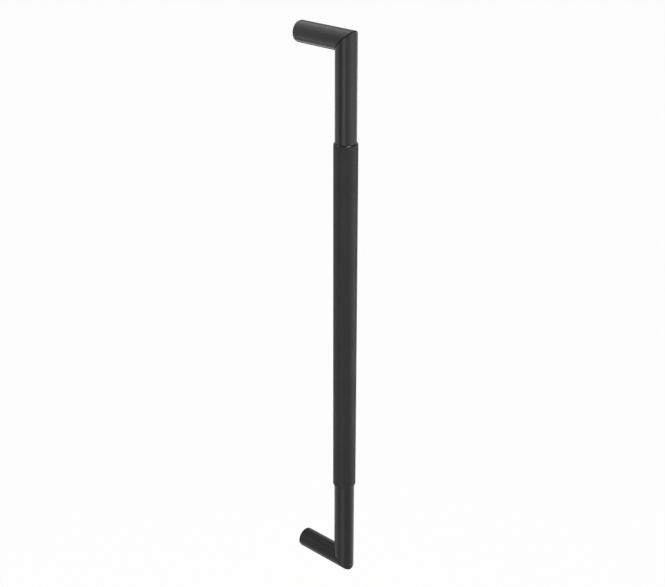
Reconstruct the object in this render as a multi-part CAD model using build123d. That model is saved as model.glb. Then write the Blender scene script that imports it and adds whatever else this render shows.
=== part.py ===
"""Door pull handle: a round bar mitred into two round arms, with a thicker grip sleeve.

The frame is that of the fitted handle. The door face is the plane Y = 0, the handle stands
out from it towards -Y, and Z runs up the bar. The origin lies on the door face, midway
between the two fixings. The handle is the same above and below the plane Z = 0, so each
lower piece is the upper one mirrored.
"""

import os

from build123d import *

# Driving dimensions, in millimetres.
fixing_centres = 600.0  # between the axes of the two arms
projection = 61.0  # from the door face to the axis of the bar
bar_diameter = 22.0  # outside of the bar and of both arms
tube_wall = 1.5
mitre_edge = 0.5  # broken edge of each mitred tube, so that a seam is a fine V
glue_gap = 0.05  # round a piece that is bonded into or over a tube

grip_wall = 1.45  # makes a 25 mm grip
grip_length = 397.5
grip_end_chamfer = 1.0
grip_bore_chamfer = 0.2

connector_leg = 32.0  # from the corner of the axes to the end of a leg
connector_end_chamfer = 1.5

insert_length = 20.0
insert_end_chamfer = 0.8
thread_core_diameter = 6.8  # the drilled core of an M8 thread
thread_mouth_chamfer = 0.3
spigot_diameter = 12.0  # centres the washer
spigot_recess = 0.2  # left between the spigot and the door face

washer_thickness = 1.0
washer_inset = 0.3  # between the washer's rim and the outside of the arm
washer_play = 0.1  # round the spigot

glue_groove_width = 4.0
glue_groove_depth = 0.4

# Sizes that follow from them.
bar_radius = bar_diameter / 2
bore_radius = bar_radius - tube_wall
plug_radius = bore_radius - glue_gap
grip_bore_radius = bar_radius + glue_gap
grip_radius = grip_bore_radius + grip_wall
spigot_length = washer_thickness - spigot_recess
corner_height = fixing_centres / 2

corner = Vector(0, -projection, corner_height)
upper_mitre = Plane(origin=corner, x_dir=(1, 0, 0), z_dir=(0, 1, 1))
lower_mitre = Plane(origin=(0, -projection, -corner_height), x_dir=(1, 0, 0), z_dir=(0, 1, -1))
arm_axis = Plane(origin=(0, 0, corner_height), x_dir=(1, 0, 0), z_dir=(0, -1, 0))


def tube(outer: float, inner: float, length: float) -> Part:
    """A straight tube that stands on the plane Z = 0."""
    base = (Align.CENTER, Align.CENTER, Align.MIN)
    return Cylinder(outer, length, align=base) - Cylinder(inner, length, align=base)


def below(solid: Part, mitre: Plane) -> Part:
    """The side of a tube that lies behind a mitre plane, with the cut's outer edge broken."""
    kept = split(solid, bisect_by=mitre, keep=Keep.BOTTOM)
    cut_face = kept.faces().filter_by(mitre).sort_by(Axis(mitre.origin, mitre.z_dir))[-1]
    return chamfer(cut_face.outer_wire().edges(), mitre_edge)


def glue_groove(middle: float) -> Part:
    """The ring to be cut from a plug for its adhesive, centred this far along Z."""
    ring = tube(plug_radius + glue_gap, plug_radius - glue_groove_depth, glue_groove_width)
    return Pos(0, 0, middle - glue_groove_width / 2) * ring


def bar_tube() -> Part:
    """The vertical bar, cut at 45 degrees at both ends."""
    length = fixing_centres + bar_diameter
    bar = Pos(0, -projection, -length / 2) * tube(bar_radius, bore_radius, length)
    return below(below(bar, upper_mitre), lower_mitre)


def arm_tube() -> Part:
    """The upper arm, square at the washer and cut at 45 degrees where it meets the bar."""
    length = projection + bar_radius - washer_thickness
    arm = arm_axis * Pos(0, 0, washer_thickness) * tube(bar_radius, bore_radius, length)
    return below(arm, -upper_mitre)


def grip_sleeve() -> Part:
    """The sleeve bonded round the middle of the bar."""
    sleeve = tube(grip_radius, grip_bore_radius, grip_length)
    rims = sleeve.edges().filter_by(GeomType.CIRCLE).group_by(SortBy.RADIUS)
    sleeve = chamfer(rims[-1], grip_end_chamfer)
    bore_rims = sleeve.edges().filter_by(GeomType.CIRCLE).group_by(SortBy.RADIUS)[0]
    sleeve = chamfer(bore_rims, grip_bore_chamfer)
    return Pos(0, -projection, -grip_length / 2) * sleeve


def corner_connector() -> Part:
    """The elbow bonded into the bar and the upper arm, which holds the mitre together."""
    bar_end = corner - Vector(0, 0, connector_leg)
    arm_end = corner + Vector(0, connector_leg, 0)
    outline = Plane(origin=bar_end, z_dir=(0, 0, 1)) * Circle(plug_radius)
    elbow = sweep(outline, path=Polyline(bar_end, corner, arm_end), transition=Transition.RIGHT)
    ends = elbow.edges().filter_by(GeomType.CIRCLE)
    elbow = chamfer(ends, connector_end_chamfer)
    groove = glue_groove((bore_radius + connector_leg) / 2)
    down_the_bar = Plane(origin=corner, x_dir=(1, 0, 0), z_dir=(0, 0, -1))
    along_the_arm = Plane(origin=corner, x_dir=(1, 0, 0), z_dir=(0, 1, 0))
    return elbow - down_the_bar * groove - along_the_arm * groove


def foot_insert() -> Part:
    """The threaded plug in the door end of the upper arm, with a spigot for the washer."""
    base = (Align.CENTER, Align.CENTER, Align.MIN)
    plug = Cylinder(plug_radius, insert_length, align=base)
    lead_in = plug.edges().filter_by(GeomType.CIRCLE).sort_by(Axis.Z)[-1]
    plug = chamfer(lead_in, insert_end_chamfer)
    spigot = Pos(0, 0, -spigot_length) * Cylinder(spigot_diameter / 2, spigot_length, align=base)
    length = insert_length + spigot_length
    thread = Pos(0, 0, -spigot_length) * Cylinder(thread_core_diameter / 2, length, align=base)
    insert = plug + spigot - glue_groove(insert_length / 2) - thread
    bore_rims = insert.edges().filter_by(GeomType.CIRCLE).group_by(SortBy.RADIUS)[0]
    insert = chamfer(bore_rims.sort_by(Axis.Z)[0], thread_mouth_chamfer)
    return arm_axis * Pos(0, 0, washer_thickness) * insert


def foot_washer() -> Part:
    """The flat washer between the upper arm and the door."""
    hole = spigot_diameter / 2 + washer_play
    return arm_axis * tube(bar_radius - washer_inset, hole, washer_thickness)


def write(name: str, piece: Part) -> None:
    """Writes one piece to its own file."""
    export_step(piece, f"parts/{name}.step")
    print(f"{name}: {piece.volume:.0f} cubic mm")


def main() -> None:
    """Builds every piece, the lower ones as mirror images of the upper ones."""
    os.makedirs("parts", exist_ok=True)
    write("bar_tube", bar_tube())
    write("grip_sleeve", grip_sleeve())
    pairs = {
        "arm_tube": arm_tube(),
        "corner_connector": corner_connector(),
        "foot_insert": foot_insert(),
        "foot_washer": foot_washer(),
    }
    for name, piece in pairs.items():
        write(f"upper_{name}", piece)
        write(f"lower_{name}", mirror(piece, about=Plane.XY))


main()
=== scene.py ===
"""A black door pull handle: a mitred bar and arms, a knurled grip, and the two feet.

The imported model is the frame. Lengths are in metres in its axes: the door face is the plane
Y = 0, the handle stands out from it towards -Y, and Z runs up the bar.
"""
import logging
import math
from dataclasses import dataclass, field
from enum import Enum

import bpy
import numpy as np
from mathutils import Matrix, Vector


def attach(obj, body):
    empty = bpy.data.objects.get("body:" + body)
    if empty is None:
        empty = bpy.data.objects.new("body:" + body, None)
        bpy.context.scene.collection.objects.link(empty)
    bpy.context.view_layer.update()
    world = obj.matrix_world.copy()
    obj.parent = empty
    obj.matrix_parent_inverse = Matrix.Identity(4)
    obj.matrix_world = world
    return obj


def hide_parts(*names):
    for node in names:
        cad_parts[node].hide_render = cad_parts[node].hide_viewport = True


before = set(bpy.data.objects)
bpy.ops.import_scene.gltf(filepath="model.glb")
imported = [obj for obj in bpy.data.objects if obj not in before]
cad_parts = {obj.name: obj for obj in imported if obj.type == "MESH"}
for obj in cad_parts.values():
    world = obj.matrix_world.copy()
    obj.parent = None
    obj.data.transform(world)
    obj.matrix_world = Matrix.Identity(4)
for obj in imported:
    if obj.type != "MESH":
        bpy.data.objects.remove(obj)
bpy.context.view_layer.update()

logging.basicConfig(level=logging.INFO, format="%(message)s")
log = logging.getLogger("pull_handle")

MM = 0.001
Point = tuple[float, float, float]
Colour = tuple[float, float, float, float]

# The sizes that both the pieces and their finishes go by
CORNER_HEIGHT = 300 * MM  # from the middle of the handle to the axis of an arm
PROJECTION = 61 * MM  # from the door face to the axis of the bar
GRIP_RADIUS = 12.5 * MM
GRIP_LENGTH = 397.5 * MM
KNURL_DEPTH = 0.18 * MM

SHARP_ANGLE = math.radians(24)  # an edge that turns by more than this isn't shaded smooth


def grey(level: float, warmth: float = 0.0) -> Colour:
    """A grey of this linear level, with a little more red than blue where warmth is above 0."""
    return (level * (1 + warmth), level, level * (1 - warmth), 1.0)


# Shaders


@dataclass(frozen=True)
class Value:
    """A number that changes over a surface. Python's operators on it add Math nodes.

    Args:
        graph: the node tree that it belongs to.
        socket: the output that carries it.
    """

    graph: "Graph"
    socket: bpy.types.NodeSocket

    def maths(
        self, operation: str, first: "Value | float", second: "Value | float" = 0.0
    ) -> "Value":
        """One Math node on two numbers.

        Args:
            operation: the node's own name for what it does.
            first: the first number.
            second: the second number, where the operation has one.

        Returns:
            The result.
        """
        return self.graph.add("ShaderNodeMath", {"operation": operation}, {0: first, 1: second})

    def __add__(self, other: "Value | float") -> "Value":
        """The sum."""
        return self.maths("ADD", self, other)

    __radd__ = __add__

    def __sub__(self, other: "Value | float") -> "Value":
        """The difference."""
        return self.maths("SUBTRACT", self, other)

    def __rsub__(self, other: "Value | float") -> "Value":
        """The difference, with this value taken away."""
        return self.maths("SUBTRACT", other, self)

    def __mul__(self, other: "Value | float") -> "Value":
        """The product."""
        return self.maths("MULTIPLY", self, other)

    __rmul__ = __mul__

    def __abs__(self) -> "Value":
        """The size without its sign."""
        return self.maths("ABSOLUTE", self)

    def root(self) -> "Value":
        """The square root."""
        return self.maths("SQRT", self)

    def wave(self) -> "Value":
        """The sine."""
        return self.maths("SINE", self)

    def swing(self, width: float) -> "Value":
        """Noise about 0.5 made into a change of this width about 0."""
        return (self - 0.5) * width

    def rise(self, low: float, high: float) -> "Value":
        """A smooth step.

        Args:
            low: where it leaves 0.
            high: where it reaches 1.

        Returns:
            0 below the first, 1 above the second, and an S curve between them.
        """
        ends = {"Value": self, "From Min": low, "From Max": high}
        return self.graph.add("ShaderNodeMapRange", {"interpolation_type": "SMOOTHSTEP"}, ends)


class Graph:
    """The nodes of one material or world."""

    def __init__(self, tree: bpy.types.NodeTree) -> None:
        """Empties the tree.

        Args:
            tree: the node tree to fill.
        """
        tree.nodes.clear()
        self.tree = tree

    def add(self, kind: str, settings: dict, inputs: dict, output: int | str = 0) -> Value:
        """Adds one node.

        Args:
            kind: the node's type.
            settings: the node's own properties, which are set first.
            inputs: a number, a colour or a value for each socket, by its name or index.
            output: the socket that is handed back.

        Returns:
            What comes out of that socket.
        """
        node = self.tree.nodes.new(kind)
        for name, setting in settings.items():
            setattr(node, name, setting)
        for name, given in inputs.items():
            socket = node.inputs[name]
            if isinstance(given, Value):
                self.tree.links.new(given.socket, socket)
            else:
                socket.default_value = given
        return Value(self, node.outputs[output])

    def place(self) -> Value:
        """The point on the surface, in the model's axes."""
        return self.add("ShaderNodeTexCoord", {}, {}, "Object")

    def axes(self, point: Value) -> list[Value]:
        """The X, Y and Z of a point."""
        return [self.add("ShaderNodeSeparateXYZ", {}, {0: point}, axis) for axis in range(3)]

    def noise(self, point: Value, size: float, detail: float) -> Value:
        """Soft noise.

        Args:
            point: where it is read.
            size: the length of one of its lumps.
            detail: how many finer octaves are laid over it.

        Returns:
            A number about 0.5, seldom below 0.3 or above 0.7.
        """
        inputs = {"Vector": point, "Scale": 1 / size, "Detail": detail, "Roughness": 0.55}
        return self.add("ShaderNodeTexNoise", {}, inputs, "Fac")

    def blend(self, share: Value, first: "Value | Colour", second: "Value | Colour") -> Value:
        """A colour between two.

        Args:
            share: 0 for the first, 1 for the second.
            first: the colour at 0.
            second: the colour at 1.

        Returns:
            The mixed colour.
        """
        return self.add("ShaderNodeMix", {"data_type": "RGBA"}, {0: share, 6: first, 7: second}, 2)

    def edge_on(self) -> Value:
        """How nearly the surface is seen edge-on.

        Returns:
            0 over most of a piece, and an S curve up to 1 along its outline.
        """
        turned_away = self.add("ShaderNodeLayerWeight", {}, {"Blend": 0.5}, "Facing")
        return turned_away.rise(0.58, 1.0)

    def relief(self, height: Value) -> Value:
        """The normal of a surface with this height in metres over it."""
        return self.add("ShaderNodeBump", {}, {"Height": height, "Strength": 1.0, "Distance": 1.0})

    def surface(self, inputs: dict) -> None:
        """Ends the tree in one Principled shader with these inputs."""
        shader = self.add("ShaderNodeBsdfPrincipled", {}, inputs)
        self.add_output("ShaderNodeOutputMaterial", shader)

    def add_output(self, kind: str, shader: Value) -> None:
        """Ends the tree in this shader."""
        node = self.tree.nodes.new(kind)
        self.tree.links.new(shader.socket, node.inputs["Surface"])


def new_graph(name: str) -> tuple[bpy.types.Material, Graph]:
    """A new material and its empty graph.

    Args:
        name: the material's name.

    Returns:
        The material, and the graph of its nodes.
    """
    material = bpy.data.materials.new(name)
    material.use_nodes = True
    return material, Graph(material.node_tree)


class Slot(Enum):
    """The record's material slots."""

    TUBE = "black_coated_tube"
    GRIP = "black_knurled_grip"
    STEEL = "bare_steel"
    NYLON = "black_nylon"


class Working(Enum):
    """How a steel piece was made, which sets the marks on it."""

    TURNED = "turned"
    CAST = "cast"


@dataclass(frozen=True)
class SatinCoat:
    """The baked black coating of the bar and arms: fine peel, finer grain, matt in the seams.

    Seen nearly edge-on, its bumps hide each other and it loses its gloss. Its colour is darker
    in the grooves along the mitres: painted shade, with some dust.
    """

    colour: float = 0.005
    pale_colour: float = 0.0095
    # painted shade, with some dust: the coat's grey in the grooves along the mitres
    seam_dust_and_shade_colour: float = 0.0015
    roughness: float = 0.27
    grain_roughness: float = 0.10
    cloud_roughness: float = 0.08
    seam_roughness: float = 0.4
    edge_on_roughness: float = 0.7
    reflectance: float = 1.32
    peel_size: float = 1.3 * MM
    peel_height: float = 0.0022 * MM
    grain_size: float = 0.16 * MM
    grain_height: float = 0.0008 * MM
    cloud_size: float = 24 * MM
    seam_inside: float = 0.3 * MM  # from a mitre's plane
    seam_outside: float = 0.5 * MM

    def seam(self, graph: Graph, point: Value) -> Value:
        """How near a point is to the two mitre planes.

        The distance to the nearer plane is the size of (Y + projection) + (the size of Z -
        corner height), over the root of 2, because the planes lean at 45 degrees.

        Args:
            graph: the graph to add to.
            point: the point on the surface.

        Returns:
            1 in the groove along a mitre, 0 on the coat beside it.
        """
        _, y, z = graph.axes(point)
        off = abs((y + PROJECTION) + (abs(z) - CORNER_HEIGHT)) * math.sqrt(0.5)
        return 1 - off.rise(self.seam_inside, self.seam_outside)

    def material(self) -> bpy.types.Material:
        """Builds the finish.

        Returns:
            The material.
        """
        material, graph = new_graph("satin_black_coat")
        point = graph.place()
        peel = graph.noise(point, self.peel_size, 1.0)
        grain = graph.noise(point, self.grain_size, 2.0)
        cloud = graph.noise(point, self.cloud_size, 3.0)
        seam = self.seam(graph, point)
        pale = grain.rise(0.52, 0.8) * 0.5 + cloud.rise(0.4, 0.75) * 0.3
        open_coat = graph.blend(pale, grey(self.colour), grey(self.pale_colour))
        uneven = grain.swing(self.grain_roughness) + cloud.swing(self.cloud_roughness)
        dulled = seam * self.seam_roughness + graph.edge_on() * self.edge_on_roughness
        graph.surface({
            # darker in the grooves along the mitres: painted shade, with some dust
            "Base Color": graph.blend(seam, open_coat, grey(self.seam_dust_and_shade_colour)),
            "Roughness": self.roughness + uneven + dulled,
            "IOR": self.reflectance,
            "Normal": graph.relief(peel * self.peel_height + grain * self.grain_height),
        })
        return material


@dataclass(frozen=True)
class KnurledCoat:
    """The same coating on the knurl: rubbed smoother on the crests, dull in the grooves.

    The turned ends of the sleeve have no knurl and are smoother than the crests. Seen nearly
    edge-on, the knurl hides its own bright flanks.
    """

    groove_colour: float = 0.0035
    crest_colour: float = 0.0085
    groove_roughness: float = 0.58
    crest_roughness: float = 0.32
    turned_roughness: float = 0.12
    grain_roughness: float = 0.1
    edge_on_roughness: float = 0.4
    reflectance: float = 1.33
    grain_size: float = 0.12 * MM
    grain_height: float = 0.002 * MM
    handled_size: float = 30 * MM
    turned_from: float = 0.9 * MM  # from the end of the sleeve
    turned_to: float = 0.75 * MM

    def material(self) -> bpy.types.Material:
        """Builds the finish.

        Returns:
            The material.
        """
        material, graph = new_graph("knurled_black_coat")
        point = graph.place()
        x, y, z = graph.axes(point)
        y = y + PROJECTION
        radius = (x * x + y * y).root()
        crest = radius.rise(GRIP_RADIUS - KNURL_DEPTH, GRIP_RADIUS - 0.4 * KNURL_DEPTH)
        end = GRIP_LENGTH / 2
        turned = abs(z).rise(end - self.turned_from, end - self.turned_to)
        grain = graph.noise(point, self.grain_size, 2.0)
        handled = graph.noise(point, self.handled_size, 3.0).rise(0.35, 0.7)
        rubbed = crest * (0.55 + 0.45 * handled)
        rubbed = rubbed + turned * (1 - rubbed)
        worn = self.groove_roughness - (self.groove_roughness - self.crest_roughness) * rubbed
        worn = worn - (self.crest_roughness - self.turned_roughness) * turned
        uneven = grain.swing(self.grain_roughness)
        graph.surface({
            "Base Color": graph.blend(rubbed, grey(self.groove_colour), grey(self.crest_colour)),
            "Roughness": worn + uneven + graph.edge_on() * self.edge_on_roughness,
            "IOR": self.reflectance,
            "Normal": graph.relief(grain * self.grain_height),
        })
        return material


@dataclass(frozen=True)
class BareSteel:
    """Steel as it left the machine.

    Args:
        working: how the piece was made.
    """

    working: Working
    colour: float = 0.42
    stain_colour: float = 0.3024
    stain_warmth: float = 0.06
    stain_size: float = 5 * MM
    stain_roughness: float = 0.14
    roughness: float = 0.27
    grain_size: float = 0.25 * MM
    grain_height: float = 0.002 * MM
    grain_roughness: float = 0.1
    mark_height: float = 0.004 * MM
    mark_roughness: float = 0.08
    cast_size: float = 0.5 * MM
    ring_pitch: float = 0.16 * MM
    ring_lean: float = 0.8  # rings along the axis for each one across it
    ring_wobble: float = 1.6

    def marks(self, graph: Graph, point: Value, grain: Value) -> Value:
        """The tool marks, from 0 to 1.

        A turned piece has rings: the sine of a full turn for each pitch that the point lies
        out from the arm's axis, and of a little less for each that it lies along it, shifted
        by the grain. A cast piece has the lumps of its mould.

        Args:
            graph: the graph to add to.
            point: the point on the surface.
            grain: fine noise at that point.

        Returns:
            The height of the marks.
        """
        if self.working is Working.CAST:
            return graph.noise(point, self.cast_size, 4.0)
        x, y, z = graph.axes(point)
        z = abs(z) - CORNER_HEIGHT
        radius = (x * x + z * z).root()
        turns = (radius + y * self.ring_lean) * (math.tau / self.ring_pitch)
        return (turns + grain * self.ring_wobble).wave() * 0.5 + 0.5

    def material(self) -> bpy.types.Material:
        """Builds the finish.

        Returns:
            The material.
        """
        material, graph = new_graph(f"{self.working.value}_steel")
        point = graph.place()
        grain = graph.noise(point, self.grain_size, 3.0)
        stain = graph.noise(point, self.stain_size, 3.0).rise(0.45, 0.75)
        marks = self.marks(graph, point, grain)
        stained = grey(self.stain_colour, self.stain_warmth)
        uneven = marks * self.mark_roughness + grain.swing(self.grain_roughness)
        graph.surface({
            "Base Color": graph.blend(stain, grey(self.colour), stained),
            "Metallic": 1.0,
            "Roughness": self.roughness + stain * self.stain_roughness + uneven,
            "Normal": graph.relief(marks * self.mark_height + grain * self.grain_height),
        })
        return material


@dataclass(frozen=True)
class MouldedNylon:
    """The washers: black nylon with the fine sparked texture of its mould, scuffed a little."""

    colour: float = 0.004
    scuff_colour: float = 0.0072
    roughness: float = 0.62
    texture_roughness: float = 0.16
    scuff_roughness: float = -0.08
    edge_on_roughness: float = 0.35
    reflectance: float = 1.33
    texture_size: float = 0.18 * MM
    texture_height: float = 0.012 * MM
    scuff_size: float = 2.2 * MM

    def material(self) -> bpy.types.Material:
        """Builds the finish.

        Returns:
            The material.
        """
        material, graph = new_graph("moulded_black_nylon")
        point = graph.place()
        texture = graph.noise(point, self.texture_size, 2.0)
        scuff = graph.noise(point, self.scuff_size, 5.0).rise(0.5, 0.8)
        uneven = texture.swing(self.texture_roughness) + scuff * self.scuff_roughness
        graph.surface({
            "Base Color": graph.blend(scuff, grey(self.colour), grey(self.scuff_colour)),
            "Roughness": self.roughness + uneven + graph.edge_on() * self.edge_on_roughness,
            "IOR": self.reflectance,
            "Normal": graph.relief(texture * self.texture_height),
        })
        return material


# Surfaces


@dataclass(frozen=True)
class Axis:
    """A straight axis, with the two directions across it.

    Args:
        start: the point at which heights along it are 0.
        along: its direction.
        across: the direction of the angle 0.
        up: the direction of the angle of a quarter turn. Across x up is along.
    """

    start: Point
    along: Point
    across: Point
    up: Point

    def points(self, radius: np.ndarray, height: np.ndarray, angle: np.ndarray) -> np.ndarray:
        """Turns cylindrical places into points.

        A point is the start, plus the height along the axis, plus the radius times the cosine
        of the angle across it and the sine of the angle up it.

        Args:
            radius: distances from the axis, rows by columns.
            height: distances along it, rows by columns.
            angle: one angle for each column.

        Returns:
            Points, rows by columns by 3.
        """
        start, along, across, up = map(np.array, (self.start, self.along, self.across, self.up))
        ray = np.cos(angle)[:, None] * across + np.sin(angle)[:, None] * up
        return start + height[..., None] * along + radius[..., None] * ray


def knurl_faces(cells: np.ndarray, low: np.ndarray) -> np.ndarray:
    """Splits the four-cornered cells of a knurl in two, along the bottoms of its grooves.

    Args:
        cells: the four vertices of each cell, rows by columns by 4.
        low: whether each vertex lies where two grooves cross.

    Returns:
        Triangles, by 3.
    """
    first_way = low[cells[..., 0]] | low[cells[..., 2]]
    this, other = cells[first_way], cells[~first_way]
    halves = [this[:, [0, 1, 2]], this[:, [0, 2, 3]], other[:, [0, 1, 3]], other[:, [1, 2, 3]]]
    return np.concatenate(halves)


def crease_grooves(mesh: bpy.types.Mesh, low: np.ndarray, columns: int) -> None:
    """Makes a knurl's grooves sharp and its ridges soft, so that each diamond is a pillow.

    An edge of the knurl is sharp where both its ends are low. The edges along its first and
    last row keep what they have.

    Args:
        mesh: the skin, whose vertices are in rows.
        low: whether each vertex lies where two grooves cross.
        columns: the number of vertices in a row.
    """
    ends = np.empty(2 * len(mesh.edges), dtype=np.int32)
    mesh.edges.foreach_get("vertices", ends)
    ends = ends.reshape(-1, 2)
    row = ends // columns
    first, last = np.flatnonzero(low)[[0, -1]] // columns
    inside = ((row >= first) & (row <= last)).all(axis=1)
    along_rim = (row[:, 0] == row[:, 1]) & ((row[:, 0] == first) | (row[:, 0] == last))
    sharp = np.empty(len(mesh.edges), dtype=bool)
    mesh.edges.foreach_get("use_edge_sharp", sharp)
    sharp = np.where(inside & ~along_rim, low[ends].all(axis=1), sharp)
    mesh.edges.foreach_set("use_edge_sharp", sharp)


def ring_skin(name: str, points: np.ndarray, low: np.ndarray | None = None) -> bpy.types.Object:
    """Makes a closed skin from a grid whose rows and columns both run round and meet again.

    Each cell of the grid is a face, and the cells of a knurl are two.

    Args:
        name: the piece's name.
        points: rows round a section by columns round an axis by 3.
        low: for a knurl, whether each point lies where two grooves cross, rows by columns.

    Returns:
        The object, at the origin.
    """
    rows, columns = points.shape[:2]
    index = np.arange(rows * columns).reshape(rows, columns)
    ahead, above = np.roll(index, -1, axis=1), np.roll(index, -1, axis=0)
    cells = np.stack([index, ahead, np.roll(above, -1, axis=1), above], axis=-1)
    faces = cells.reshape(-1, 4).tolist()
    if low is not None:
        knurled = low.any(axis=1) | np.roll(low, -1, axis=0).any(axis=1)
        faces = cells[~knurled].reshape(-1, 4).tolist()
        faces += knurl_faces(cells[knurled], low.ravel()).tolist()
    mesh = bpy.data.meshes.new(name)
    mesh.from_pydata(points.reshape(-1, 3).tolist(), [], faces)
    mesh.shade_smooth()
    mesh.set_sharp_from_angle(angle=SHARP_ANGLE)
    if low is not None:
        crease_grooves(mesh, low.ravel(), columns)
    mesh.validate()
    made = bpy.data.objects.new(name, mesh)
    bpy.context.scene.collection.objects.link(made)
    return made


def round_off(
    before: np.ndarray, corner: np.ndarray, after: np.ndarray, steps: int = 8
) -> np.ndarray:
    """Rounds a corner of a section with a parabola.

    The curve is (1 - s) squared times the first point, plus 2 s (1 - s) times the corner, plus
    s squared times the last, for s from 0 to 1.

    Args:
        before: where the curve leaves the first side, columns by 2.
        corner: the sharp corner, columns by 2.
        after: where it meets the second side, columns by 2.
        steps: the number of points on it.

    Returns:
        The curve, steps by columns by 2.
    """
    s = np.linspace(0, 1, steps)[:, None, None]
    return (1 - s) ** 2 * before + 2 * s * (1 - s) * corner + s**2 * after


@dataclass(frozen=True)
class Cut:
    """A flat end of a tube, with its outer edge taken off.

    Args:
        height: where it crosses the axis.
        edge: how far the edge is taken off along the wall.
        depth: how far it is taken off across the wall.
        lean: how far it rises for each unit up across the axis: 1 or -1 at 45 degrees.
        fullness: 1 where the edge is rounded, 0 where it is a straight chamfer.
    """

    height: float
    edge: float
    depth: float
    lean: float = 0.0
    fullness: float = 1.0

    def at(self, radius: float, angle: np.ndarray) -> np.ndarray:
        """Where the cut meets a cylinder: its height, plus its lean times radius times sine.

        Args:
            radius: of the cylinder.
            angle: one angle for each column.

        Returns:
            The radius and height, columns by 2.
        """
        height = self.height + self.lean * radius * np.sin(angle)
        return np.stack([np.full_like(angle, radius), height], axis=-1)

    def edge_curve(self, radius: float, inward: float, angle: np.ndarray) -> np.ndarray:
        """The taken off edge, from the wall to the cut's face.

        It is a parabola whose middle point lies between the chord's middle and the sharp
        corner, the fullness of the way.

        Args:
            radius: of the outside of the tube.
            inward: the sign of the way along the axis into the tube.
            angle: one angle for each column.

        Returns:
            Radii and heights, steps by columns by 2.
        """
        corner = self.at(radius, angle)
        wall = corner + np.array([0.0, inward * self.edge])
        face = self.at(radius - self.depth, angle)
        chord = (wall + face) / 2
        return round_off(wall, chord + self.fullness * (corner - chord), face)


@dataclass(frozen=True)
class Tube:
    """A straight tube between two cuts.

    Args:
        axis: its axis.
        radius: of its outside.
        bore: the radius of its inside.
        foot: the cut at its low end.
        head: the cut at its high end.
        columns: the number of faces round it.
        rows: the number of rings of points along it, besides one close to each edge.
        edge_gap: how near that one is, as a share of the wall's length.
    """

    axis: Axis
    radius: float
    bore: float
    foot: Cut
    head: Cut
    columns: int = 128
    rows: int = 24
    edge_gap: float = 0.004

    def wall(self, low: np.ndarray, high: np.ndarray) -> np.ndarray:
        """The wall between two edges, with a short row of faces next to each.

        Each row is the lower edge plus a share of the way to the upper one.

        Args:
            low: the end of the lower edge, columns by 2.
            high: the start of the upper edge, columns by 2.

        Returns:
            Rows by columns by 2.
        """
        between = np.linspace(5 * self.edge_gap, 1 - 5 * self.edge_gap, self.rows)
        share = np.concatenate([[self.edge_gap], between, [1 - self.edge_gap]])
        return low + (high - low) * share[:, None, None]

    def build(self, name: str) -> bpy.types.Object:
        """Carries the section of the wall round the axis.

        The section runs up the outside, over the rounded edge and the face of the head, down
        the bore, and over the face and edge of the foot. Its heights change with the angle as
        the two cuts do.

        Args:
            name: the piece's name.

        Returns:
            The tube.
        """
        angle = np.linspace(0, math.tau, self.columns, endpoint=False)
        low = self.foot.edge_curve(self.radius, 1.0, angle)[::-1]
        high = self.head.edge_curve(self.radius, -1.0, angle)
        bore = np.stack([self.head.at(self.bore, angle), self.foot.at(self.bore, angle)])
        section = np.concatenate([low, self.wall(low[-1], high[0]), high, bore])
        return ring_skin(name, self.axis.points(section[..., 0], section[..., 1], angle))


# Sub-assemblies


@dataclass
class Handle:
    """Sizes that the sub-assemblies share."""

    corner_height: float = CORNER_HEIGHT
    projection: float = PROJECTION
    radius: float = 11 * MM
    bore: float = 9.5 * MM

    def bar_axis(self) -> Axis:
        """The axis of the bar, upwards from the middle."""
        return Axis((0, -self.projection, 0), (0, 0, 1), (1, 0, 0), (0, 1, 0))

    def arm_axis(self, side: int) -> Axis:
        """The axis of the upper (1) or lower (-1) arm, outwards from the door."""
        return Axis((0, 0, side * self.corner_height), (0, -1, 0), (1, 0, 0), (0, 0, 1))


def dress(piece: bpy.types.Object, material: bpy.types.Material, node: str) -> None:
    """Gives a new piece its finish and puts it in the place of a CAD node.

    Args:
        piece: the new piece.
        material: its finish.
        node: the CAD node that it stands for.
    """
    piece.data.materials.append(material)
    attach(piece, "root")
    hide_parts(node)
    log.info("%s: %d faces, for %s", piece.name, len(piece.data.polygons), node)


def dress_node(node: str, material: bpy.types.Material) -> None:
    """Gives a CAD node that stays as it is its finish.

    Args:
        node: its name.
        material: its finish.
    """
    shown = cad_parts[node]
    shown.data.materials.clear()
    shown.data.materials.append(material)
    log.info("%s: CAD node, dressed", node)


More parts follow.
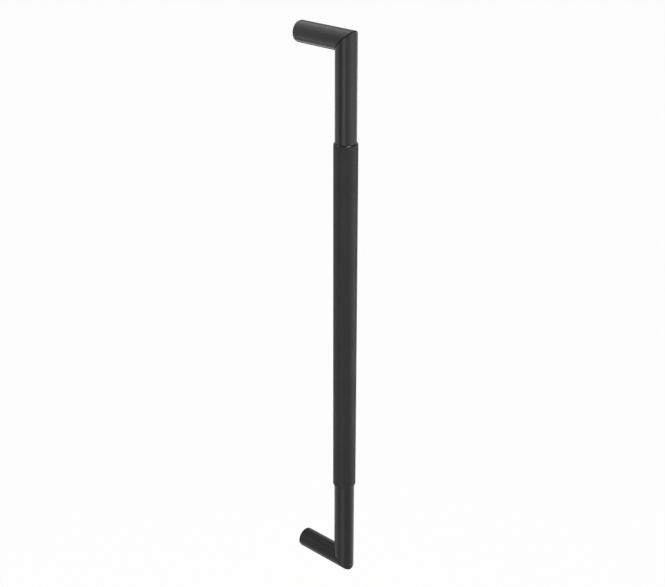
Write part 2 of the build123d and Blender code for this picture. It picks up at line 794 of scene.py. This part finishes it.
@dataclass
class MitredTubes:
    """The bar and both arms, with the elbows that join them inside."""

    handle: Handle
    mitre_edge: float = 0.7 * MM
    mitre_depth: float = 1.2 * MM
    mitre_fullness: float = 0.3
    foot_height: float = 1.0 * MM
    foot_edge: float = 0.25 * MM
    coat: SatinCoat = field(default_factory=SatinCoat)
    elbow_steel: BareSteel = field(default_factory=lambda: BareSteel(Working.CAST))

    def mitre(self, height: float, lean: float) -> Cut:
        """A cut at 45 degrees, with its half of the fine groove round the joint.

        Args:
            height: where it crosses the tube's axis.
            lean: 1 or -1, the way it leans.

        Returns:
            The cut.
        """
        return Cut(height, self.mitre_edge, self.mitre_depth, lean, self.mitre_fullness)

    def bar(self) -> bpy.types.Object:
        """The bar, whose cuts lean away from the door at both ends.

        Returns:
            The bar.
        """
        handle = self.handle
        top = self.mitre(handle.corner_height, -1.0)
        bottom = self.mitre(-handle.corner_height, 1.0)
        tube = Tube(handle.bar_axis(), handle.radius, handle.bore, bottom, top, rows=60)
        return tube.build("coated_bar")

    def arm(self, side: int, name: str) -> bpy.types.Object:
        """One arm, square at the door and mitred at the bar.

        Args:
            side: 1 for the upper arm, -1 for the lower.
            name: the piece's name.

        Returns:
            The arm.
        """
        handle = self.handle
        foot = Cut(self.foot_height, self.foot_edge, self.foot_edge)
        head = self.mitre(handle.projection, float(side))
        tube = Tube(handle.arm_axis(side), handle.radius, handle.bore, foot, head)
        return tube.build(name)

    def build(self) -> None:
        """Makes the tubes and dresses the elbows."""
        coat = self.coat.material()
        dress(self.bar(), coat, "bar_tube")
        dress(self.arm(1, "coated_upper_arm"), coat, "upper_arm_tube")
        dress(self.arm(-1, "coated_lower_arm"), coat, "lower_arm_tube")
        steel = self.elbow_steel.material()
        for node in ("upper_corner_connector", "lower_corner_connector"):
            dress_node(node, steel)


@dataclass
class KnurledGrip:
    """The sleeve bonded round the bar, with a fine diamond knurl between chamfered ends."""

    handle: Handle
    radius: float = GRIP_RADIUS
    bore: float = 11.05 * MM
    length: float = GRIP_LENGTH
    end_chamfer: float = 1.0 * MM
    end_edge: float = 0.05 * MM
    bore_chamfer: float = 0.2 * MM
    knurl_pitch: float = 0.8 * MM
    knurl_depth: float = KNURL_DEPTH
    knurl_end: float = 0.08 * MM
    groove_angle: float = math.radians(30)
    diamonds_round: int = 85
    coat: KnurledCoat = field(default_factory=KnurledCoat)

    def knurl(self, angle: np.ndarray) -> tuple[np.ndarray, np.ndarray]:
        """The knurled part, whose grooves run out on the two end chamfers.

        Two sets of grooves cross at 30 degrees to the axis. On a grid of half diamonds each
        point whose row and column add up to an even number is the crest of a diamond, on the
        sleeve's radius, and each odd one is where grooves cross, the depth further in. An odd
        point of the first or last row lies as far along the chamfer as it lies in.

        Args:
            angle: one angle for each column, two to a diamond.

        Returns:
            Radii and heights, rows by columns by 2, and whether each point is odd.
        """
        half = self.length / 2 - self.end_chamfer
        diamond_length = self.knurl_pitch / math.sin(self.groove_angle)
        steps = 2 * round(half / (diamond_length / 2))
        odd = np.add.outer(np.arange(steps + 1), np.arange(len(angle))) % 2 == 1
        depth = self.knurl_depth * odd
        height = np.linspace(-half, half, steps + 1)[:, None] + np.zeros_like(depth)
        height[0] -= depth[0]
        height[-1] += depth[-1]
        return np.stack([self.radius - depth, height], axis=-1), odd

    def upper_end(self) -> np.ndarray:
        """The section of the upper end: the chamfer, the narrow flat and the bore's own chamfer.

        The chamfer starts a little above where the grooves run out, and its edge with the flat
        is softened by three points.

        Returns:
            Radii and heights, by 2.
        """
        inner, top, edge = self.radius - self.end_chamfer, self.length / 2, self.end_edge
        low = self.end_chamfer - self.knurl_depth - self.knurl_end
        return np.array([
            (inner + low, top - low),
            (inner + 1.2 * edge, top - 1.2 * edge),
            (inner + 0.2 * edge, top - 0.3 * edge),
            (inner - edge, top),
            (self.bore + self.bore_chamfer, top),
            (self.bore, top - self.bore_chamfer),
        ])

    def build(self) -> None:
        """Carries the sleeve's section round the bar's axis.

        The section runs up the knurl, over the upper end, down the bore and round the lower
        end, which is the upper one with its heights turned over.
        """
        angle = np.linspace(0, math.tau, 2 * self.diamonds_round, endpoint=False)
        upper = np.repeat(self.upper_end()[:, None], len(angle), axis=1)
        lower = (upper * np.array([1.0, -1.0]))[::-1]
        knurl, odd = self.knurl(angle)
        section = np.concatenate([lower, knurl, upper])
        low = np.zeros(section.shape[:2], dtype=bool)
        low[len(lower) : len(lower) + len(knurl)] = odd
        points = self.handle.bar_axis().points(section[..., 0], section[..., 1], angle)
        made = ring_skin("knurled_grip", points, low)
        dress(made, self.coat.material(), "grip_sleeve")


def soft_corner(radius: float, height: float, soft: float) -> list[tuple[float, float]]:
    """An outer corner of a turned section, rounded on the side of the door.

    Args:
        radius: of the corner.
        height: of the corner.
        soft: how far back along each side the rounding starts.

    Returns:
        The radius and height of its start, its end, and between them its middle, which lies
        0.3 of that in from each side, about as on an arc.
    """
    near = 0.3 * soft
    return [(radius - soft, height), (radius - near, height + near), (radius, height + soft)]


@dataclass
class Foot:
    """The door end of one arm: a threaded insert and its washer.

    Args:
        handle: the shared sizes.
        side: 1 for the upper arm, -1 for the lower.
        name: upper or lower.
    """

    handle: Handle
    side: int
    name: str
    washer_radius: float = 10.7 * MM
    washer_hole: float = 6.1 * MM
    washer_thickness: float = 1.0 * MM
    insert_end: float = 21 * MM
    plug_radius: float = 9.45 * MM
    lead_in: float = 0.8 * MM
    spigot_radius: float = 6.0 * MM
    spigot_end: float = 0.2 * MM
    soft_edge: float = 0.15 * MM
    mouth_chamfer: float = 0.3 * MM
    thread_run_in: float = 0.35 * MM
    thread_core: float = 3.4 * MM
    thread_pitch: float = 1.25 * MM
    thread_depth: float = 0.55 * MM
    columns: int = 96
    steps_a_turn: int = 8

    def washer(self, material: bpy.types.Material) -> None:
        """The washer, flat against the door.

        Args:
            material: its finish.
        """
        outside = Cut(0.0, self.soft_edge, self.soft_edge)
        inside = Cut(self.washer_thickness, self.soft_edge, self.soft_edge)
        axis = self.handle.arm_axis(self.side)
        ring = Tube(axis, self.washer_radius, self.washer_hole, outside, inside, rows=2)
        made = ring.build(f"moulded_{self.name}_washer")
        dress(made, material, f"{self.name}_foot_washer")

    def thread(self, angle: np.ndarray) -> np.ndarray:
        """The threaded bore, from its inner end to its mouth.

        The turn at a point is its height over the pitch, less its angle over a full turn. The
        groove's depth follows a triangle wave of that, 1.3 times as high, lowered by 0.2 and
        cut off flat at 0 and 1, and it fades out over the last half turn at each end.

        Args:
            angle: one angle for each column.

        Returns:
            Rows by columns by 2.
        """
        start, end = self.spigot_end + self.thread_run_in, self.insert_end - self.thread_run_in
        rows = round((end - start) / self.thread_pitch * self.steps_a_turn)
        height = np.linspace(end, start, rows + 1)[:, None]
        turn = height / self.thread_pitch - angle / math.tau
        triangle = np.abs(2 * (turn % 1) - 1)
        groove = np.clip(1.3 * triangle - 0.2, 0, 1)
        from_end = np.minimum(height - start, end - height)
        fade = np.clip(from_end / (self.thread_pitch / 2), 0, 1)
        radius = self.thread_core + self.thread_depth * groove * fade
        return np.stack([radius, np.broadcast_to(height, radius.shape)], axis=-1)

    def insert(self, material: bpy.types.Material) -> None:
        """The insert: a turned section carried round the arm's axis, and its thread.

        The section runs up the spigot, out over the shoulder, up the plug and over its lead-in
        to the far end, down the thread, and out over the mouth.

        Args:
            material: its finish.
        """
        angle = np.linspace(0, math.tau, self.columns, endpoint=False)
        shoulder, far = self.washer_thickness, self.insert_end
        hole = self.thread_core + self.mouth_chamfer
        outline = np.array([
            *soft_corner(self.spigot_radius, self.spigot_end, self.soft_edge),
            (self.spigot_radius, shoulder),
            *soft_corner(self.plug_radius, shoulder, self.soft_edge),
            (self.plug_radius, far - self.lead_in),
            (self.plug_radius - self.lead_in, far),
            (hole, far),
        ])
        outside = np.repeat(outline[:, None], self.columns, axis=1)
        mouth = np.full((1, self.columns, 2), (hole, self.spigot_end))
        section = np.concatenate([outside, self.thread(angle), mouth])
        points = self.handle.arm_axis(self.side).points(section[..., 0], section[..., 1], angle)
        made = ring_skin(f"threaded_{self.name}_insert", points)
        dress(made, material, f"{self.name}_foot_insert")

    def build(self, steel: bpy.types.Material, nylon: bpy.types.Material) -> None:
        """Makes both pieces.

        Args:
            steel: the finish of the insert.
            nylon: the finish of the washer.
        """
        self.insert(steel)
        self.washer(nylon)


# Studio


@dataclass(frozen=True)
class Softbox:
    """One soft lamp that faces the handle.

    Args:
        name: its name.
        azimuth: degrees round from the front, towards +X.
        low: the height of its lower edge, from the middle of the handle.
        high: the height of its upper edge.
        width: its width.
        brightness: of its face, where 1 is white.
        tilted: whether it leans to face the middle of the handle.
        distance: from the handle, over the floor.
    """

    name: str
    azimuth: float
    low: float
    high: float
    width: float
    brightness: float
    tilted: bool = False
    distance: float = 1.0

    def hang(self, target: Vector) -> None:
        """Puts the lamp in its place.

        Its power is its brightness times pi times its area, so that its face shows as white at
        a brightness of 1.

        Args:
            target: the middle of the handle.
        """
        turn = math.radians(self.azimuth)
        away = Vector((math.sin(turn), -math.cos(turn), 0)) * self.distance
        away.z = (self.low + self.high) / 2
        back = away.normalized() if self.tilted else Vector((away.x, away.y, 0)).normalized()
        lamp = bpy.data.lights.new(self.name, "AREA")
        lamp.shape = "RECTANGLE"
        lamp.size, lamp.size_y = self.width, self.high - self.low
        lamp.energy = self.brightness * math.pi * lamp.size * lamp.size_y
        made = bpy.data.objects.new(self.name, lamp)
        made.location = target + away
        made.rotation_mode = "QUATERNION"
        made.rotation_quaternion = back.to_track_quat("Z", "Y")
        made.visible_camera = False
        bpy.context.scene.collection.objects.link(made)


@dataclass(frozen=True)
class Viewpoint:
    """The photograph's camera.

    Args:
        place: where it stands.
        azimuth: degrees round from the front, towards +X, from which it looks.
        elevation: degrees by which it looks down.
        lens: its focal length in millimetres.
        sensor_width: in millimetres.
    """

    place: Point = (-0.88483, -0.85092, 0.58193)
    azimuth: float = -47.6082
    elevation: float = 24.7631
    lens: float = 67.92
    sensor_width: float = 36.0

    def build(self) -> None:
        """Puts the camera in its place and makes it the scene's."""
        turn, rise = math.radians(self.azimuth), math.radians(self.elevation)
        across = math.cos(rise)
        back = Vector((math.sin(turn) * across, -math.cos(turn) * across, math.sin(rise)))
        camera = bpy.data.cameras.new("camera")
        camera.lens = self.lens
        camera.sensor_width = self.sensor_width
        made = bpy.data.objects.new("camera", camera)
        made.location = self.place
        made.rotation_mode = "QUATERNION"
        made.rotation_quaternion = back.to_track_quat("Z", "Y")
        bpy.context.scene.collection.objects.link(made)
        bpy.context.scene.camera = made


# Name, azimuth in degrees, heights of the lower and upper edge, width, brightness
SOFTBOXES = (
    Softbox("key_softbox", 334.0, 1.8, 2.26, 1.7, 9.5, tilted=True, distance=0.85),
    Softbox("left_strip", 296.0, -1.45, 0.35, 0.83, 1.06),
    Softbox("left_box", 289.0, -0.22, 0.35, 0.53, 1.2),
    Softbox("front_box", 356.0, -0.22, 0.35, 1.15, 1.16),
    Softbox("right_box", 26.0, -0.22, 0.35, 1.15, 1.29),
    Softbox("low_box", 41.0, -0.72, -0.22, 0.53, 3.43),
    Softbox("rear_strip", 214.0, -0.72, -0.22, 0.26, 1.67),
    Softbox("rear_box", 223.0, -0.22, 1.3, 0.26, 0.9),
    Softbox("rear_panel", 210.0, -1.45, 3.0, 2.1, 0.36, distance=4.0),
    Softbox("right_side_strip", 98.0, -1.45, 0.35, 0.3, 2.0),
    Softbox("rear_side_strip", 158.0, -1.45, 0.35, 0.3, 2.0),
    Softbox("high_box", 180.0, 0.8, 1.6, 1.07, 2.05, distance=0.7),
)


@dataclass
class Studio:
    """A plain white room: a wide floor, a pale surround and soft lamps.

    Args:
        floor_drop: how far the floor lies below the middle of the handle.
        floor_radius: its radius.
        floor_rings: the number of rings of points on it.
        floor_spokes: the number of points in a ring.
        paper: its own pale grey.
        floor_glow: the share of plain white in what the camera and reflections see of it.
        horizon: the sine of the elevation up to which the surround is white.
        zenith: the sine at which it would be darkest.
        overhead: how much darker than white it would be there.
        target: the point that the lamps are hung round.
    """

    floor_drop: float = 1.5
    floor_radius: float = 14.0
    floor_rings: int = 24
    floor_spokes: int = 96
    paper: float = 0.88
    floor_glow: float = 0.96
    horizon: float = 0.15
    zenith: float = 1.05
    overhead: float = 0.7
    target: Point = (0, -0.04, 0)
    lamps: tuple[Softbox, ...] = SOFTBOXES
    viewpoint: Viewpoint = field(default_factory=Viewpoint)

    def floor(self) -> None:
        """A round white floor, in rings about its middle that lie closer further in.

        The point at a ring and an angle is the ring's radius times the cosine and sine of the
        angle, at the floor's depth below the handle. The radius goes with the square of a
        number that rises evenly from 0.02 to 1.
        """
        grid = (self.floor_rings, self.floor_spokes)
        angle = np.linspace(0, math.tau, self.floor_spokes, endpoint=False)
        radius = np.linspace(0.02, 1, self.floor_rings)[:, None] ** 2 * self.floor_radius
        level = np.full(grid, -self.floor_drop)
        points = np.stack([radius * np.cos(angle), radius * np.sin(angle), level], axis=-1)
        index = np.arange(points[..., 0].size).reshape(grid)
        ahead = np.roll(index, -1, axis=1)
        cells = np.stack([index[:-1], index[1:], ahead[1:], ahead[:-1]], axis=-1).reshape(-1, 4)
        mesh = bpy.data.meshes.new("floor")
        mesh.from_pydata(points.reshape(-1, 3).tolist(), [], cells.tolist() + [index[0].tolist()])
        mesh.materials.append(self.floor_material())
        made = bpy.data.objects.new("floor", mesh)
        bpy.context.scene.collection.objects.link(made)

    def floor_material(self) -> bpy.types.Material:
        """White paper that shows white to the camera and in reflections, and keeps a shadow.

        Returns:
            The material.
        """
        material, graph = new_graph("white_paper")
        rays = ("Is Camera Ray", "Is Glossy Ray", "Is Transmission Ray")
        camera, glossy, through = (graph.add("ShaderNodeLightPath", {}, {}, ray) for ray in rays)
        seen = camera + glossy + through
        paper = graph.add("ShaderNodeBsdfDiffuse", {}, {"Color": grey(self.paper)})
        glow = graph.add("ShaderNodeEmission", {}, {"Color": grey(1.0), "Strength": 1.0})
        mixed = graph.add("ShaderNodeMixShader", {}, {0: seen * self.floor_glow, 1: paper, 2: glow})
        graph.add_output("ShaderNodeOutputMaterial", mixed)
        return material

    def world(self) -> None:
        """A pale surround, white at the horizon and greyer overhead.

        The place that a world gives is a direction, so its Z is the sine of the elevation.
        """
        world = bpy.data.worlds.new("surround")
        world.use_nodes = True
        graph = Graph(world.node_tree)
        _, _, up = graph.axes(graph.place())
        strength = 1 - up.rise(self.horizon, self.zenith) * self.overhead
        light = graph.add("ShaderNodeBackground", {}, {"Color": grey(1.0), "Strength": strength})
        graph.add_output("ShaderNodeOutputWorld", light)
        bpy.context.scene.world = world

    def build(self) -> None:
        """Makes the room, the lamps and the camera."""
        self.floor()
        self.world()
        for lamp in self.lamps:
            lamp.hang(Vector(self.target))
        self.viewpoint.build()
        bpy.context.scene.view_settings.view_transform = "Standard"
        log.info("studio: %d lamps", len(self.lamps))


def main() -> None:
    """Builds the handle from the bar outwards, then the studio."""
    handle = Handle()
    MitredTubes(handle).build()
    KnurledGrip(handle).build()
    steel, nylon = BareSteel(Working.TURNED).material(), MouldedNylon().material()
    Foot(handle, 1, "upper").build(steel, nylon)
    Foot(handle, -1, "lower").build(steel, nylon)
    Studio().build()


if __name__ == "__main__":
    main()
